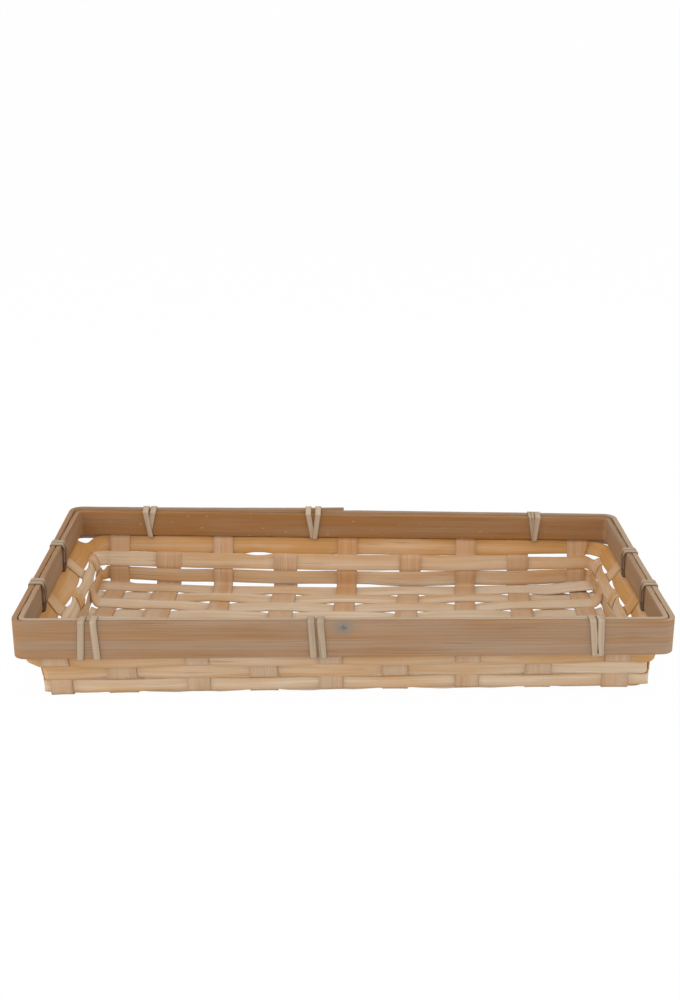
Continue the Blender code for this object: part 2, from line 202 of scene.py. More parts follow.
class SplintSizes(bpy.types.PropertyGroup):
    thickness: length("Thickness", "Thickness of a wood splint", 0.0007)
    clearance: length("Clearance", "Room between the floor's layers in the solids", 0.0003)
    half_step: length("Half step", "How far a splint lies from the middle of the weave", 0.00047)
    softness: length("Softness", "How gently a splint turns where it crosses another", 0.0010)
    foot_inset: length("Foot inset", "How far the floor's edge stands in from the rim", 0.0106)
    bend: length("Bend", "Radius of the turn from the floor up to a wall", 0.0015)
    end_bend: length("End bend", "That radius where a stake starts inside an end wall", 0.0055)
    end_rise: length("End rise", "How far the backmost splint rides up at its right end", 0.0017)
    end_widening: length("End widening", "How much wider that splint's right end is", 0.0024)
    slit: length("Slit", "The gap between two strips where a third one passes through", 0.0013)
    front_drop: length("Front drop", "How much lower the rows lie in the front wall", 0.0015)
    tail: length("Tail", "How far a short splint ends before the wall", 0.0003)
    tip_depth: length("Tip depth", "How far a stake's tip stands below the rim", 0.0005)
    tip_share: share("Tip", "Share of its thickness that a stake keeps between the bands", 0.25)
    drift: length("Drift", "How far a splint wanders from its straight line", 0.00030)
    wander: length("Edge wander", "How uneven the split edges are", 0.00012)
    cup: length("Cup", "How hollow a splint is across its width", 0.00008)
    lean: angle("Lean", "How much a splint tips from side to side", 2.5)
    edge: length("Edge", "Rounding of the splint's edges", 0.00012)
    step: length("Mesh step", "Length of one face along a splint", 0.0008)


class RimSizes(bpy.types.PropertyGroup):
    outer_thickness: length("Outer thickness", "Thickness of the outer band", 0.0024)
    inner_thickness: length("Inner thickness", "Thickness of the inner band", 0.0024)
    slot: length("Slot", "Room for the splints' ends between the bands", 0.0005)
    corner: length("Corner radius", "Radius of the rim's corners, at its outside", 0.0060)
    lap_end: length("Lap end", "Where the outer end of the lap lies, from the middle", 0.0003)
    lap: length("Lap", "Length over which the outer band's ends lap", 0.025)
    lap_tip: length("Lap tip", "Thickness of the pared ends of the lap", 0.0004)
    lap_rise: length("Lap rise", "How far the lap's outer end stands over the inner band", 0.0026)
    back_rise: length("Back rise", "How far the rest of the outer band's back stands up", 0.0010)
    lean: angle("Lean", "How much a band tips from side to side", 0.3)
    drift: length("Drift", "How far a band wanders from its straight line", 0.00008)
    wander: length("Edge wander", "How uneven the bands' edges are", 0.00006)
    edge: length("Edge", "Rounding of the bands' edges", 0.00030)
    step: length("Mesh step", "Length of one face along a band", 0.0012)


class CaneSizes(bpy.types.PropertyGroup):
    width: length("Width", "Width of the cane", 0.0033)
    thickness: length("Thickness", "Thickness of the cane", 0.0006)
    gap: length("Gap", "Air between the cane and the bands", 0.00008)
    pinch: share("Pinch", "Share of its width that the cane keeps in the weave", 0.8)
    bow: length("Bow", "How far the cane stands off the inside of the rim's ends", 0.0012)
    wander: length("Edge wander", "How uneven the cane's edges are", 0.00006)
    softness: length("Softness", "How gently the cane turns over the rim", 0.00040)
    edge: length("Edge", "Rounding of the cane's edges", 0.00012)
    step: length("Mesh step", "Length of one face along the cane", 0.00035)


class BasketShape(bpy.types.PropertyGroup):
    lift: length("Lift", "How far the warped basket is raised, onto its lowest corner", 0.0021)
    foot_corners: corners("Foot corners", "How far off level the foot is at each corner",
                          (-0.0029, 0.0022, 0.0005, -0.0019))
    band_corners: corners("Band corners", "How far off level the outer band's lower edge is",
                          (-0.0013, 0.0013, 0.0018, -0.0018))
    rim_corners: corners("Rim corners", "How far off level the top of the rim is",
                         (-0.0012, -0.0003, 0.0019, -0.0026))
    floor_bow: length("Floor bow", "How far the floor's ends curve up", 0.0032)
    front_bow: length("Front bow", "How far the foot's front edge curves up in its middle", 0.0010)


class BasketColours(bpy.types.PropertyGroup):
    weaver_pale: colour("Weaver, pale", "Pale splint of the floor and rings", (0.585, 0.462, 0.335))
    weaver_deep: colour("Weaver, deep", "Darker streaks of that splint", (0.47, 0.24, 0.080))
    stake_pale: colour("Stake, pale", "Pale streaks of the upright splints", (0.49, 0.34, 0.22))
    stake_deep: colour("Stake, deep", "Darker streaks of the upright splints", (0.46, 0.23, 0.09))
    band_pale: colour("Band, pale", "Pale streaks of the bands", (0.318, 0.213, 0.137))
    band_deep: colour("Band, deep", "Darker streaks of the bands", (0.302, 0.141, 0.048))
    cane_pale: colour("Cane, pale", "Pale face of the cane", (0.43, 0.325, 0.225))
    # The cane's deep colour also gives the painted shade along its edges and on its strands inside
    # the end walls
    cane_deep: colour("Cane, deep", "Darker streaks and edges of the cane", (0.20, 0.125, 0.07))
    stain: colour("Stain", "The blue-grey stain on the front band", (0.13, 0.165, 0.175))
    # The pale colour of the bands' top and bottom edges, used where their tone is low
    band_edge: colour("Band, edges", "Cut edges of the bands", (0.39, 0.285, 0.19))
    floor: colour("Studio floor", "Floor and backdrop", (0.80, 0.80, 0.80))


def splints():
    return bpy.context.scene.basket_splints


def rim():
    return bpy.context.scene.basket_rim


def cane():
    return bpy.context.scene.basket_cane


def floor_half_width():
    return HALF_WIDTH - splints().foot_inset


def floor_half_depth():
    return HALF_DEPTH - splints().foot_inset


def floor_middle():
    """How high the middle of the floor's weave lies."""
    return splints().thickness + splints().clearance / 2


# Strips

# The columns of a strip's rows, as station gives them
MIDDLE, HALF, PLUS, MINUS, THICK, TONE = slice(0, 3), slice(3, 6), 6, 7, 8, 9

# Under this least share of its thickness a strip needs the shares row by row
FULL_THICKNESS = 0.999

# How far each strip's seed shifts its waves, and its place in the grain along and across, in metres
WAVE_SHIFTS = (3.1, 7.3)
GRAIN_SHIFTS = (0.37, 0.053)


def station(middle, half, plus=0.0, minus=0.0, thick=1.0, tone=0.5):
    """One place along a strip: its middle, half its width, what each edge adds to that, its share
    of the full thickness and its tone."""
    return [*middle, *half, plus, minus, thick, tone]


def smoothed(rows, reach, closed):
    """The columns with a soft moving average. Open ends keep their places."""
    margin = int(3 * reach) + 1
    if closed:
        padded = np.concatenate([rows[-margin - 1:-1], rows, rows[1:margin + 1]])
    else:
        before = 2 * rows[0] - rows[margin:0:-1]
        after = 2 * rows[-1] - rows[-2:-margin - 2:-1]
        padded = np.concatenate([before, rows, after])
    weights = np.exp(-0.5 * (np.arange(-margin, margin + 1) / reach) ** 2)
    weights /= weights.sum()
    return np.column_stack([np.convolve(column, weights, "valid") for column in padded.T])


def even_rows(stations, step, softness, closed):
    """The stations as rows at even steps along the strip, with its corners softened."""
    rows = np.array(stations)
    if closed:
        rows = np.vstack([rows, rows[:1]])
    runs = np.linalg.norm(np.diff(rows[:, MIDDLE], axis=0), axis=1)
    ways = np.concatenate([[0.0], np.cumsum(runs)])
    count = int(ways[-1] / step)
    even = np.linspace(0.0, ways[-1], count + 1)
    rows = np.column_stack([np.interp(even, ways, column) for column in rows.T])
    return smoothed(rows, softness / step, closed), even


def waves(ways, wavelength, seed, closed):
    """Gentle even noise along a strip, which meets itself on a closed one."""
    total = ways[-1]
    values = []
    for way in ways:
        if closed:
            turn = 2 * pi * way / total
            radius = total / (2 * pi * wavelength)
            place = Vector((radius * cos(turn), radius * sin(turn), WAVE_SHIFTS[1] * seed))
        else:
            place = Vector((way / wavelength, *(shift * seed for shift in WAVE_SHIFTS)))
        values.append(noise.noise(place))
    return np.array(values)


def unit(vectors):
    return vectors / np.linalg.norm(vectors, axis=1, keepdims=True)


def strip_faces(rows, ways, seed, closed, drift, wander, lean, crown, across):
    """The places of a strip's middle surface, row by row."""
    middles, halves = rows[:, MIDDLE], rows[:, HALF]
    tangents = np.gradient(middles, axis=0)
    if closed:
        tangents[0] = tangents[-1] = middles[1] - middles[-2]
    sides = unit(halves)
    normals = unit(np.cross(tangents, halves))
    widths = np.linalg.norm(halves, axis=1)
    sideways = drift * waves(ways, DRIFT_WAVE, seed, closed)
    turn = lean * waves(ways, LEAN_WAVE, seed + 31, closed)
    middles = middles + sideways[:, None] * sides
    sides = np.cos(turn)[:, None] * sides + np.sin(turn)[:, None] * normals
    surface = np.zeros((len(rows), across + 1, 3))
    for index in range(across + 1):
        place = 2 * index / across - 1
        grow = rows[:, PLUS if place > 0 else MINUS]
        side_seed = seed + (57 if place > 0 else 83)
        uneven = waves(ways, COARSE_WAVE, side_seed, closed)
        uneven = uneven + FINE_SHARE * waves(ways, FINE_WAVE, side_seed + 5, closed)
        reach = place * (widths + grow + wander * uneven)
        height = crown * (1 - place * place)
        surface[:, index] = middles + reach[:, None] * sides + height * normals
    return surface


def smooth_step(values, low, high):
    eased = np.clip((values - low) / (high - low), 0.0, 1.0)
    return eased * eased * (3 - 2 * eased)


def off_level(heights, across, along):
    """The height between four corners, given front left, front right, back left, back right."""
    front = (heights[0] * (1 - across) + heights[1] * (1 + across)) / 2
    back = (heights[2] * (1 - across) + heights[3] * (1 + across)) / 2
    return (front * (1 - along) + back * (1 + along)) / 2


def end_inset(wall, along, up):
    """How far in a place of an end wall stands."""
    front, back = (np.interp(up, INSET_HEIGHTS, insets) for insets in END_INSETS[wall])
    return front + (back - front) * smooth_step(along, *INSET_CHANGE)


def settled(places, woven):
    """Moves places by the basket's warp: its corners are off level, its floor curves up at the ends
    and the woven end walls stand in."""
    shape = bpy.context.scene.basket_shape
    x, y, z = places[..., 0], places[..., 1], places[..., 2]
    across, along, up = x / HALF_WIDTH, y / HALF_DEPTH, z / HEIGHT
    foot, band, rim_top = (off_level(heights, across, along) for heights in
                           (shape.foot_corners, shape.band_corners, shape.rim_corners))
    band_up = OUTER_BAND_BOTTOM / HEIGHT
    low = np.clip(up / band_up, 0.0, 1.0)
    high = np.clip((up - band_up) / (1 - band_up), 0.0, 1.0)
    rise = shape.lift + foot + (band - foot) * low + (rim_top - band) * high
    ends = across ** 2 * (1 - smooth_step(-along, *FLOOR_BOW_FRONT))
    rise = rise + shape.floor_bow * ends * (1 - smooth_step(up, *FLOOR_BOW_UP))
    front_edge = (1 - across ** 4) * smooth_step(-along, *FRONT_BOW_FRONT)
    rise = rise + shape.front_bow * front_edge * (1 - smooth_step(up, *FRONT_BOW_UP))
    if woven:
        inset = np.where(across > 0, end_inset("right", along, up), end_inset("left", along, up))
        x = x - np.sign(x) * inset * smooth_step(np.abs(x), INSET_START, floor_half_width())
    return np.stack([x, y, z + rise], axis=-1)


def select_only(piece=None):
    for other in bpy.context.selected_objects:
        other.select_set(False)
    if piece is not None:
        piece.select_set(True)
        bpy.context.view_layer.objects.active = piece


def apply_modifier(piece, kind, name, **settings):
    modifier = piece.modifiers.new(name, kind)
    for setting, value in settings.items():
        setattr(modifier, setting, value)
    bpy.ops.object.modifier_apply(modifier=modifier.name)


def add_grid(node, surface):
    """A new grid that lies on a surface's places, with the row and the column of each vertex."""
    count, across = surface.shape[0] - 1, surface.shape[1] - 1
    select_only()
    bpy.ops.mesh.primitive_grid_add(x_subdivisions=count, y_subdivisions=across, size=1,
                                    location=(0, 0, 0))
    piece = bpy.context.object
    piece.name = f"{node}_strip"
    mesh = piece.data
    if len(mesh.vertices) != (count + 1) * (across + 1):
        raise RuntimeError(f"{node}: the grid has {len(mesh.vertices)} vertices")
    starts = np.zeros(len(mesh.vertices) * 3)
    mesh.vertices.foreach_get("co", starts)
    starts = starts.reshape(-1, 3)
    along = np.rint((starts[:, 0] + 0.5) * count).astype(int)
    aside = np.rint((starts[:, 1] + 0.5) * across).astype(int)
    mesh.vertices.foreach_set("co", surface[along, aside].ravel())
    mesh.update()
    return piece, along, aside


def lay_patterns(mesh, size, tones, edges, seed):
    """Gives a grid its UV map, in metres, and what its material reads: the tone of each vertex and
    how near it lies to an edge."""
    layer = mesh.uv_layers.active
    layer.name = "UVMap"
    flat = np.zeros(len(layer.data) * 2)
    layer.data.foreach_get("uv", flat)
    flat = flat.reshape(-1, 2) * size + seed * np.array(GRAIN_SHIFTS)
    layer.data.foreach_set("uv", flat.ravel())
    for name, values in (("tone", tones), ("edge", edges)):
        mesh.attributes.new(name, "FLOAT", "POINT").data.foreach_set("value", values)


def thicken(piece, shares, thickness, edge, closed):
    """Joins a ring's ends, gives a strip its thickness, with the share at each vertex, and rounds
    its edges."""
    settings = {"thickness": thickness, "offset": 0.0, "use_even_offset": True}
    if shares.min() < FULL_THICKNESS:
        group = piece.vertex_groups.new(name="thickness")
        for vertex, value in enumerate(shares):
            group.add([vertex], float(value), "REPLACE")
        settings["vertex_group"] = group.name
    if closed:
        bpy.ops.object.mode_set(mode="EDIT")
        bpy.ops.mesh.select_all(action="SELECT")
        bpy.ops.mesh.remove_doubles(threshold=1e-6)
        bpy.ops.object.mode_set(mode="OBJECT")
    apply_modifier(piece, "SOLIDIFY", "thickness", **settings)
    apply_modifier(piece, "BEVEL", "rounded edges", width=edge, segments=2, limit_method="ANGLE",
                   angle_limit=radians(50), use_clamp_overlap=True)


def build_strip(node, stations, finish, slot, seed, sizes, thickness, crown=0.0, closed=False,
                drift=0.0, lean=0.0, softness=None, across=6, lift=None, woven=False):
    """Lays a flat grid strip along its stations, then gives it thickness and rounded edges."""
    rows, ways = even_rows(stations, sizes.step, softness or sizes.softness, closed)
    surface = strip_faces(rows, ways, seed, closed, drift, sizes.wander, lean, crown, across)
    if lift is not None:
        surface[..., 2] += lift(surface)
    piece, along, aside = add_grid(node, settled(surface, woven))
    lay_patterns(piece.data, (ways[-1], 2 * np.linalg.norm(rows[0, HALF])), rows[along, TONE],
                 np.abs(2 * aside / across - 1), seed)
    thicken(piece, rows[along, THICK], thickness, sizes.edge, closed)
    select_only(piece)
    bpy.ops.object.shade_smooth_by_angle(angle=radians(40))
    piece.data.materials.clear()
    piece.data.materials.append(finish)
    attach(piece, "root")
    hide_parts(node)


def build_splint(node, stations, finish, slot, seed, closed=False):
    """A strip of split wood, which follows the warp of the woven walls."""
    sizes = splints()
    build_strip(node, stations, finish, slot, seed, sizes, sizes.thickness, crown=-sizes.cup,
                drift=sizes.drift, lean=sizes.lean, closed=closed, woven=True)


# The weave

# The tones of the crosswise splints, from 0 for pale to 1 for deep, and how much deeper each gets
# from its middle towards the back
CROSSWISE_TONES = (0.30, 0.15, 0.30, 0.10, 0.35, 0.20, 0.35, 0.15, 0.35)
CROSSWISE_SLOPES = (0.25, 0.25, 0.25, 0.25, 0.45, 0.25, 0.25, 0.25, 0.25)

# The least and the most tone of a lengthwise splint, and how much deeper its ends are that stand up
LENGTHWISE_TONES = (0.06, 0.26)
STAKE_TONE = 0.45


def crosswise_numbers():
    return range(1, CROSSWISE_COUNT + 1)


def read_crosswise(number):
    """Where the middle of a crosswise splint meets the front and the back wall, and its width."""
    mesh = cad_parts[f"crosswise_splint_{number}"].data
    ends = []
    for side in (-1, 1):
        places = [vertex.co.x for vertex in mesh.vertices
                  if side * vertex.co.y > floor_half_depth()]
        ends.append((min(places) + max(places)) / 2)
        width = max(places) - min(places)
    return ends[0], ends[1], width


def crosswise_x(splint, y):
    front, back, _ = splint
    depth = floor_half_depth()
    return front + (back - front) * (y + depth) / (2 * depth)


def read_lengthwise(number):
    """The middle and the width of a lengthwise splint, from back to front."""
    low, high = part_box(f"lengthwise_splint_{number:02d}")
    return (low.y + high.y) / 2, high.y - low.y


def is_over(crosswise, lengthwise):
    """Whether a crosswise splint lies on top. The first and last repeat their neighbours' steps."""
    phase = min(max(crosswise, 2), CROSSWISE_COUNT - 1)
    return (phase + lengthwise) % 2 == 0


def floor_offset(on_top):
    """How far a splint lies off the middle of the floor's weave."""
    return splints().half_step if on_top else -splints().half_step


def stake_offset(wall, stake, row):
    """A stake passes inside or outside the ring of a row, which takes the other side."""
    inside = (stake + row + WALL_PHASES[wall]) % 2 == 0
    return splints().half_step if inside else -splints().half_step


def row_line(row, y):
    """The ends of the middle line of a wall row, as distance beyond the foot and height, and the
    way inwards."""
    sizes = splints()
    depth = floor_half_depth()
    bottom_edge = floor_middle() + sizes.bend + TURN_MARGIN
    top_edge = INNER_BAND_BOTTOM - TOP_ROW_GAP
    pitch = (top_edge - bottom_edge + sizes.slit) / ROW_COUNT
    flare = sizes.foot_inset - SHOULDER_INSET
    drop = sizes.front_drop * (depth - y) / (2 * depth)
    low_share, high_share = ROW_FLARE_SHARES[row]
    low = bottom_edge + row * pitch
    high = low + pitch - sizes.slit
    lower = Vector((low_share * flare, low - drop if row > 0 else low))
    upper = Vector((high_share * flare, high - drop if row < ROW_COUNT - 1 else high))
    climb = (upper - lower).normalized()
    return lower, upper, Vector((-climb.y, climb.x))


def climbing_path(wall, stake, y, start_offset):
    """The way of a stake from the floor's edge to its end between the bands, as distance beyond
    the foot and height."""
    sizes = splints()
    middle = floor_middle()
    bottom_offset = stake_offset(wall, stake, 0)
    bend = sizes.end_bend if wall in ("left", "right") and bottom_offset > 0 else sizes.bend
    path = [Vector((-bend - TURN_MARGIN, middle + start_offset))]
    for step in range(TURN_STEPS + 1):
        part = step / TURN_STEPS
        turn = part * pi / 2
        offset = start_offset + part * (bottom_offset - start_offset)
        inward = Vector((-sin(turn), cos(turn)))
        path.append(Vector((-bend, middle + bend)) + (offset - bend) * inward)
    rise = Vector((0, CROSSING_SHARE * sizes.slit))
    for row in range(ROW_COUNT):
        lower, upper, inward = row_line(row, y)
        offset = stake_offset(wall, stake, row) * inward
        if row > 0:
            path.append(lower + offset - rise)
        if lower.y > path[-1].y - rise.y:
            path.append(lower + offset)
        path.append(upper + offset)
        if row < ROW_COUNT - 1:
            path.append(upper + offset + rise)
    slot = sizes.foot_inset - rim().outer_thickness - rim().slot / 2
    path.append(Vector((slot, INNER_BAND_BOTTOM)))
    path.append(Vector((slot, HEIGHT - sizes.tip_depth)))
    return path


def pared(height):
    """The share of its thickness that a stake has at a height: less between the bands."""
    return splints().tip_share if height >= INNER_BAND_BOTTOM else 1.0


class BASKET_OT_crosswise_splints(bpy.types.Operator):
    """Weave the nine splints that run from front to back and stand up as stakes at both ends"""
    bl_idname = "basket.crosswise_splints"
    bl_label = "Crosswise Splints"
    bl_options = {"REGISTER", "UNDO"}

    def execute(self, context):
        finish = stake_wood()
        strips = [read_lengthwise(number) for number in range(1, LENGTHWISE_COUNT + 1)]
        depth = floor_half_depth()
        for number in crosswise_numbers():
            splint = read_crosswise(number)
            offset = floor_offset(is_over(number, LENGTHWISE_COUNT))
            route = [(-depth - out, z)
                     for out, z in reversed(climbing_path("front", number, -depth, offset))]
            for lengthwise in range(LENGTHWISE_COUNT, 0, -1):
                middle, width = strips[lengthwise - 1]
                offset = floor_offset(is_over(number, lengthwise))
                route += [(middle + side * width / 2, floor_middle() + offset) for side in (-1, 1)]
            route += [(depth + out, z) for out, z in climbing_path("back", number, depth, offset)]
            half = (splint[2] / 2, 0, 0)
            tone, slope = CROSSWISE_TONES[number - 1], CROSSWISE_SLOPES[number - 1]
            stations = [station((crosswise_x(splint, y), y, z), half, thick=pared(z),
                                tone=tone + slope * y / HALF_DEPTH) for y, z in route]
            build_splint(f"crosswise_splint_{number}", stations, finish, "stake_wood", number)
        return {"FINISHED"}


def back_fill(x, over):
    """How much of the slit at the back of the floor the backmost splint's edge fills."""
    fills = [fill[0] if over else fill[1] for fill in BACK_FILLS]
    return fills[0] + (fills[1] - fills[0]) * float(smooth_step(x, *BACK_SHUTS))


def floor_stations(number, y, half, tone, crossings, chance):
    """The part of a lengthwise splint that lies in the floor, with its edges' reach into the slits
    beside it."""
    slit = splints().slit
    middle = floor_middle()
    spans = []
    for crosswise, crossing in zip(crosswise_numbers(), crossings):
        centre = crosswise_x(crossing, y)
        height = middle + floor_offset(not is_over(crosswise, number))
        spans.append((centre - crossing[2] / 2, centre + crossing[2] / 2, height))
    stations = []
    for before, after in zip([None] + spans, spans):
        if before is not None:
            grow = chance.uniform(*GAP_FILLS) * slit
            if before[2] == after[2]:
                grow = LEVEL_FILL * slit
            for part in (0.22, 0.5, 0.78):
                x = before[1] + part * (after[0] - before[1])
                z = before[2] + part * (after[2] - before[2])
                back_grow = grow
                if number == 1:
                    fills = [back_fill(x, span[2] > middle) for span in (before, after)]
                    back_grow = (fills[0] + part * (fills[1] - fills[0])) * slit
                stations.append(station((x, y, z), half, back_grow, grow, tone=tone))
        over = after[2] > middle
        at_end = before is None or after is spans[-1]
        grow = (END_FILL if number % 2 and at_end else FLOOR_FILLS[0 if over else 1]) * slit
        for x in after[:2]:
            back_grow = back_fill(x, over) * slit if number == 1 and not at_end else grow
            stations.append(station((x, y, after[2]), half, back_grow, grow, tone=tone))
    return stations


def standing_ends(number, y, half, tone):
    """The ends of a lengthwise splint that stand up as stakes: the left one from its tip down, and
    the right one from the floor up."""
    sizes = splints()
    ends = []
    for wall, sign in (("left", -1), ("right", 1)):
        ends.append([])
        for out, z in climbing_path(wall, (number + 1) // 2, y, sizes.half_step):
            grow = END_FILL * sizes.slit if z < FLOOR_TOP * HEIGHT else 0.0
            place = (sign * (floor_half_width() + out), y, z)
            ends[-1].append(station(place, half, grow, grow, pared(z), tone + STAKE_TONE))
    return ends[0][::-1], ends[1]


def lying_ends(stations, y, half, tone):
    """The ends of a short splint, left and right, which lie on the floor just before the walls."""
    sizes = splints()
    reach = floor_half_width() - sizes.tail
    grow = TAIL_FILL * sizes.slit
    return [[station((sign * reach, y, beside[2] + TAIL_RISE), half, grow, grow, tone=tone)]
            for sign, beside in ((-1, stations[0]), (1, stations[-1]))]


def raise_right_end(stations):
    """Lets the backmost splint ride up and widen at its right end."""
    sizes = splints()
    for place in stations:
        risen = float(smooth_step(place[0], *END_RISE_REACH))
        if risen > 0:
            place[2] = max(place[2], floor_middle() + sizes.half_step + risen * sizes.end_rise)
        if place[2] < FLOOR_TOP * HEIGHT:
            widened = float(smooth_step(place[0], *END_WIDENING_REACH))
            place[MINUS] += widened * sizes.end_widening


class BASKET_OT_lengthwise_splints(bpy.types.Operator):
    """Weave the eleven splints that run from left to right. Every second one stands up as a stake
    at both ends, and the others end on the floor"""
    bl_idname = "basket.lengthwise_splints"
    bl_label = "Lengthwise Splints"
    bl_options = {"REGISTER", "UNDO"}

    def execute(self, context):
        finish = weaver_wood()
        crossings = [read_crosswise(number) for number in crosswise_numbers()]
        chance = Random(11)
        for number in range(1, LENGTHWISE_COUNT + 1):
            y, width = read_lengthwise(number)
            half = (0, width / 2, 0)
            tone = chance.uniform(*LENGTHWISE_TONES)
            stations = floor_stations(number, y, half, tone, crossings, chance)
            if number % 2:
                left, right = standing_ends(number, y, half, tone)
            else:
                left, right = lying_ends(stations, y, half, tone)
            stations = left + stations + right
            if number == 1:
                raise_right_end(stations)
            build_splint(f"lengthwise_splint_{number:02d}", stations, finish, "weaver_wood",
                         20 + number)
        return {"FINISHED"}


def wall_stakes(wall, y=0.0):
    """The number, middle and width of each stake of a wall, left to right or front to back."""
    stakes = []
    if wall in ("front", "back"):
        for number in crosswise_numbers():
            splint = read_crosswise(number)
            stakes.append((number, crosswise_x(splint, y), splint[2]))
    else:
        for number in range((LENGTHWISE_COUNT + 1) // 2, 0, -1):
            middle, width = read_lengthwise(2 * number - 1)
            stakes.append((number, middle, width))
    return stakes


def foot_fill(wall, x):
    """The slit above the floor's back edge is open on the left and shuts towards the right. The end
    walls reach down to the floor."""
    return FOOT_FILLS[wall] * (float(smooth_step(x, *FOOT_SHUTS)) if wall == "back" else 1.0)


def leave_open(fills, row, wall, along):
    """Keeps the edges of two rings apart at a few places. The first number is for a ring's lower
    edge and the second one for its upper edge."""
    for open_wall, below, low, high, fill in OPEN_SLITS:
        if open_wall == wall and low < along < high and row in (below, below + 1):
            fills[below + 1 - row] = fill


def corner_centre(sign_x, sign_y, half_y):
    """The middle of a ring's corner, which lies just past the last stakes of two walls."""
    centre = []
    for wall, sign in (("back" if sign_y > 0 else "front", sign_x),
                       ("right" if sign_x > 0 else "left", sign_y)):
        stakes = wall_stakes(wall, OUTWARD[wall][1] * half_y)
        _, middle, width = stakes[-1] if sign > 0 else stakes[0]
        centre.append(middle + sign * (width / 2 + CORNER_MARGIN))
    return centre


def ring_corner(row, quarter, half_x, half_y, closing):
    """The places of one corner of a ring, where it hangs down a little."""
    sign_x, sign_y = CORNER_SIGNS[quarter]
    centre_x, centre_y = corner_centre(sign_x, sign_y, half_y)
    reach_x = abs(sign_x * half_x - centre_x)
    reach_y = abs(sign_y * half_y - centre_y)
    fills = [CORNER_CLOSINGS[quarter] * part for part in closing]
    places = []
    for step in range(CORNER_STEPS + 1):
        part = step / CORNER_STEPS
        turn = (quarter + part) * pi / 2
        place = (centre_x + reach_x * cos(turn), centre_y + reach_y * sin(turn))
        outward = Vector((cos(turn) / reach_x, sin(turn) / reach_y)).normalized()
        dip = CORNER_DIPS[row][quarter] * sin(part ** DIP_SKEWS[quarter] * pi) ** 2
        places.append((place, outward, None, *fills, dip))
    return places


def ring_wall(row, wall, half_x, half_y, closing, chance):
    """The places of one side of a ring, at the stakes and between them."""
    outward = Vector(OUTWARD[wall])
    along = Vector((-outward.y, outward.x))
    run = Vector((abs(along.x), abs(along.y)))
    face = Vector((half_x * outward.x, half_y * outward.y))
    stakes = wall_stakes(wall, face.y)
    if wall in ("back", "left"):
        stakes.reverse()
    places = []

    def add_place(spot, offset, fills):
        if row == 0:
            fills[0] = foot_fill(wall, spot.x)
        leave_open(fills, row, wall, spot.dot(run))
        places.append((spot, outward, offset, *fills, 0.0))

    last = None
    for number, middle, width in stakes:
        base = face + middle * run
        start = base - width / 2 * along
        if last is not None:
            fills = [chance.uniform(*RING_FILLS) * part for part in closing]
            if wall in ("left", "right"):
                fills = SIDE_CLOSINGS[row]
            for part in (0.25, 0.5, 0.75):
                add_place(last + part * (start - last), None, list(fills))
        last = base + width / 2 * along
        for spot in (start, last):
            offset = -stake_offset(wall, number, row)
            add_place(spot, offset, [STAKE_FILL * part for part in closing])
    return places


def ring_places(row, closing, chance):
    """The way of a ring round the walls: each place, the way outwards there, how far the ring lies
    off the middle of the weave at a stake, how much its edges fill the slits, and its dip."""
    lower, upper, _ = row_line(row, 0.0)
    out = (lower.x + upper.x) / 2
    half_x = floor_half_width() + out
    half_y = floor_half_depth() + out
    places = []
    for quarter, wall in enumerate(WALL_ORDER):
        places += ring_corner(row, quarter, half_x, half_y, closing)
        places += ring_wall(row, wall, half_x, half_y, closing, chance)
    return places


# How much of the slits the lower and the upper edge of each ring usually fill
RING_CLOSINGS = ((0.1, 0.30), (0.30, 0.90), (0.9, 0.9))

# Each ring's tone, how much deeper it gets towards the back and towards two opposite corners, and
# the painted shade that deepens it in the end walls, under the rim
RING_TONES = ((0.50, 0.06, 0.0, 0.0), (0.50, 0.06, 0.25, 0.0), (0.80, 0.18, 0.0, 0.15))

# How much of its corners' dip the bottom ring's lower edge leaves out
KEPT_LEVEL = 0.8


class BASKET_OT_wall_weavers(bpy.types.Operator):
    """Weave the three splint rings round the stakes of the walls"""
    bl_idname = "basket.wall_weavers"
    bl_label = "Wall Weavers"
    bl_options = {"REGISTER", "UNDO"}

    def execute(self, context):
        slit = splints().slit
        finish = weaver_wood()
        chance = Random(5)
        for row, name in enumerate(ROW_NAMES):
            places = ring_places(row, RING_CLOSINGS[row], chance)
            spots = np.array([[*place] for place, *_ in places])
            runs = np.linalg.norm(np.roll(spots, -1, axis=0) - spots, axis=1)
            ways = np.concatenate([[0.0], np.cumsum(runs)[:-1]])
            known = [index for index, place in enumerate(places) if place[2] is not None]
            offsets = np.interp(ways, ways[known], [places[index][2] for index in known],
                                period=runs.sum()).tolist()
            base_tone, slope, twist, end_wall_shade = RING_TONES[row]
            level = KEPT_LEVEL if row == 0 else 0.0
            stations = []
            for (spot, outward, _, low_fill, high_fill, dip), offset in zip(places, offsets):
                lower, upper, inward = row_line(row, spot[1])
                out = Vector((outward.x, outward.y, 0))
                up = Vector((0, 0, 1))
                middle = Vector((spot[0], spot[1], (lower.y + upper.y) / 2 - dip))
                middle += offset * (inward.x * out + inward.y * up)
                half = ((upper.x - lower.x) * out + (upper.y - lower.y) * up) / 2
                across, along = spot[0] / HALF_WIDTH, spot[1] / HALF_DEPTH
                tone = base_tone + slope * along + twist * across * along
                # Painted shade: in the end walls a ring deepens, in place of the rim's shadow over
                # it
                stations.append(station(middle, half, high_fill * slit,
                                        low_fill * slit - level * dip,
                                        tone=tone + end_wall_shade * abs(outward.x)))
            build_splint(f"wall_weaver_{name}", stations, finish, "weaver_wood", 40 + row,
                         closed=True)
        return {"FINISHED"}


# The rim

# How gently a band turns, in metres, and how far the two ends of the lap lie apart
BAND_SOFTNESS = 0.0012
LAP_SHIFT = 0.006

# The tones of the bands in front, at the left and at the right end of the basket, and the tone of
# the inner band at the back
OUTER_TONES = (0.30, 0.55, 0.22)
INNER_TONES = (0.2, 0.25, 0.22)
INNER_BACK_TONE = 0.85


